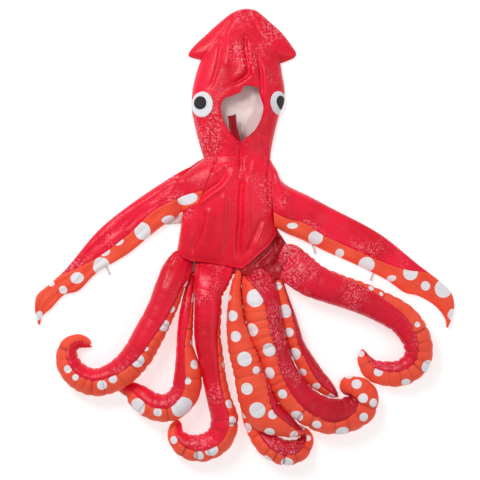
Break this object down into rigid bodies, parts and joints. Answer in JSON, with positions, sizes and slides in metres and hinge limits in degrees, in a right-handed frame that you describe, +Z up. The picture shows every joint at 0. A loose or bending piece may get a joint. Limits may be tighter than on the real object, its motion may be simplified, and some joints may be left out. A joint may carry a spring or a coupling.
{
  "type": "octopus costume",
  "caption": "Child's hooded octopus costume laid flat: tunic, face-opening hood with fin and felt eyes, spread sleeves and stuffed curling tentacles hinged along the hem.",
  "frame": {"origin": "on the floor under the middle of the whole costume as it lies on its back", "axes": "+Y from the hem to the head, +Z up out of the floor through the costume's front, +X to the right as seen from above with the head at the top"},
  "size_m": [1.26, 1.3739, 0.095],
  "materials": {
    "red_satin": "satin with a foil scale print",
    "orange_print": "matt satin with white spots",
    "white_felt": "matt felt",
    "black_felt": "matt felt",
    "lining": "matt knit",
    "filling": "polyester fibre",
    "elastic": "woven elastic",
    "hook_loop": "hook and loop tape",
    "label": "plain woven tape"
  },
  "bodies": {
    "tunic": {"tunic_front": "red_satin", "side_panel_right": "red_satin", "tunic_back": "red_satin", "tunic_lining": "lining", "hem_facing": "red_satin", "front_placket": "red_satin", "hanger_loop": "elastic", "care_label": "label"},
    "hood": {"hood_front": "red_satin", "hood_back": "red_satin", "hood_lining": "lining", "face_binding": "red_satin", "eye_patch_left": "white_felt", "eye_patch_right": "white_felt", "pupil_left": "black_felt", "pupil_right": "black_felt", "chin_loop_pad": "hook_loop", "fin_front": "red_satin", "fin_back": "red_satin", "fin_filling": "filling"},
    "chin_tab": {"chin_tab": "red_satin", "chin_tab_hook_pad": "hook_loop"},
    "sleeve_left": {"sleeve_left_top": "red_satin", "sleeve_left_under": "orange_print", "hand_loop_left": "elastic"},
    "sleeve_right": {"sleeve_right_top": "red_satin", "sleeve_right_under": "orange_print", "hand_loop_right_upper": "elastic", "hand_loop_right_lower": "elastic"},
    "tentacle_a": {"tentacle_a_back": "red_satin", "tentacle_a_belly": "orange_print", "tentacle_a_filling": "filling"},
    "tentacle_b": {"tentacle_b_back": "red_satin", "tentacle_b_belly": "orange_print", "tentacle_b_filling": "filling"},
    "tentacle_c": {"tentacle_c_back": "red_satin", "tentacle_c_belly": "orange_print", "tentacle_c_filling": "filling"},
    "tentacle_d": {"tentacle_d_back": "red_satin", "tentacle_d_belly": "orange_print", "tentacle_d_filling": "filling"},
    "tentacle_e": {"tentacle_e_back": "red_satin", "tentacle_e_belly": "orange_print", "tentacle_e_filling": "filling"},
    "tentacle_f": {"tentacle_f_back": "red_satin", "tentacle_f_belly": "orange_print", "tentacle_f_filling": "filling"},
    "tentacle_g": {"tentacle_g_back": "red_satin", "tentacle_g_belly": "orange_print", "tentacle_g_filling": "filling"},
    "tentacle_h": {"tentacle_h_back": "red_satin", "tentacle_h_belly": "orange_print", "tentacle_h_filling": "filling"}
  },
  "joints": [
    {"name": "hood_fold", "type": "hinge", "parent": "tunic", "child": "hood", "pos_m": [-0.025, 0.2425, 0.07], "axis": [1, 0, 0], "range_deg": [0, 95]},
    {"name": "chin_tab_flap", "type": "hinge", "parent": "hood", "child": "chin_tab", "pos_m": [-0.037, 0.29, 0.072], "axis": [1, 0, 0], "range_deg": [0, 120]},
    {"name": "sleeve_left_lift", "type": "hinge", "parent": "tunic", "child": "sleeve_left", "pos_m": [-0.205, 0.112, 0.0096], "axis": [-0.081, 0.9967, 0], "range_deg": [0, 88]},
    {"name": "sleeve_right_lift", "type": "hinge", "parent": "tunic", "child": "sleeve_right", "pos_m": [0.101, 0.116, 0.0096], "axis": [-0.1569, -0.9876, 0], "range_deg": [0, 88]},
    {"name": "tentacle_a_lift", "type": "hinge", "parent": "tunic", "child": "tentacle_a", "pos_m": [-0.184, -0.068, 0.04], "axis": [-1, 0, 0], "range_deg": [0, 50]},
    {"name": "tentacle_b_lift", "type": "hinge", "parent": "tunic", "child": "tentacle_b", "pos_m": [-0.158, -0.118, 0.012], "axis": [-1, 0, 0], "range_deg": [0, 35]},
    {"name": "tentacle_c_lift", "type": "hinge", "parent": "tunic", "child": "tentacle_c", "pos_m": [-0.092, -0.092, 0.042], "axis": [-1, 0, 0], "range_deg": [0, 50]},
    {"name": "tentacle_e_lift", "type": "hinge", "parent": "tunic", "child": "tentacle_e", "pos_m": [-0.028, -0.118, 0.031], "axis": [-1, 0, 0], "range_deg": [0, 30]},
    {"name": "tentacle_d_lift", "type": "hinge", "parent": "tentacle_e", "child": "tentacle_d", "pos_m": [-0.028, -0.118, 0.031], "axis": [-1, 0, 0], "range_deg": [0, 40]},
    {"name": "tentacle_f_lift", "type": "hinge", "parent": "tunic", "child": "tentacle_f", "pos_m": [0.04, -0.104, 0.042], "axis": [-1, 0, 0], "range_deg": [0, 50]},
    {"name": "tentacle_g_lift", "type": "hinge", "parent": "tunic", "child": "tentacle_g", "pos_m": [0.101, -0.118, 0.018], "axis": [-1, 0, 0], "range_deg": [0, 45]},
    {"name": "tentacle_h_lift", "type": "hinge", "parent": "tunic", "child": "tentacle_h", "pos_m": [0.128, -0.076, 0.04], "axis": [-0.4229, -0.9062, 0], "range_deg": [0, 35]}
  ]
}
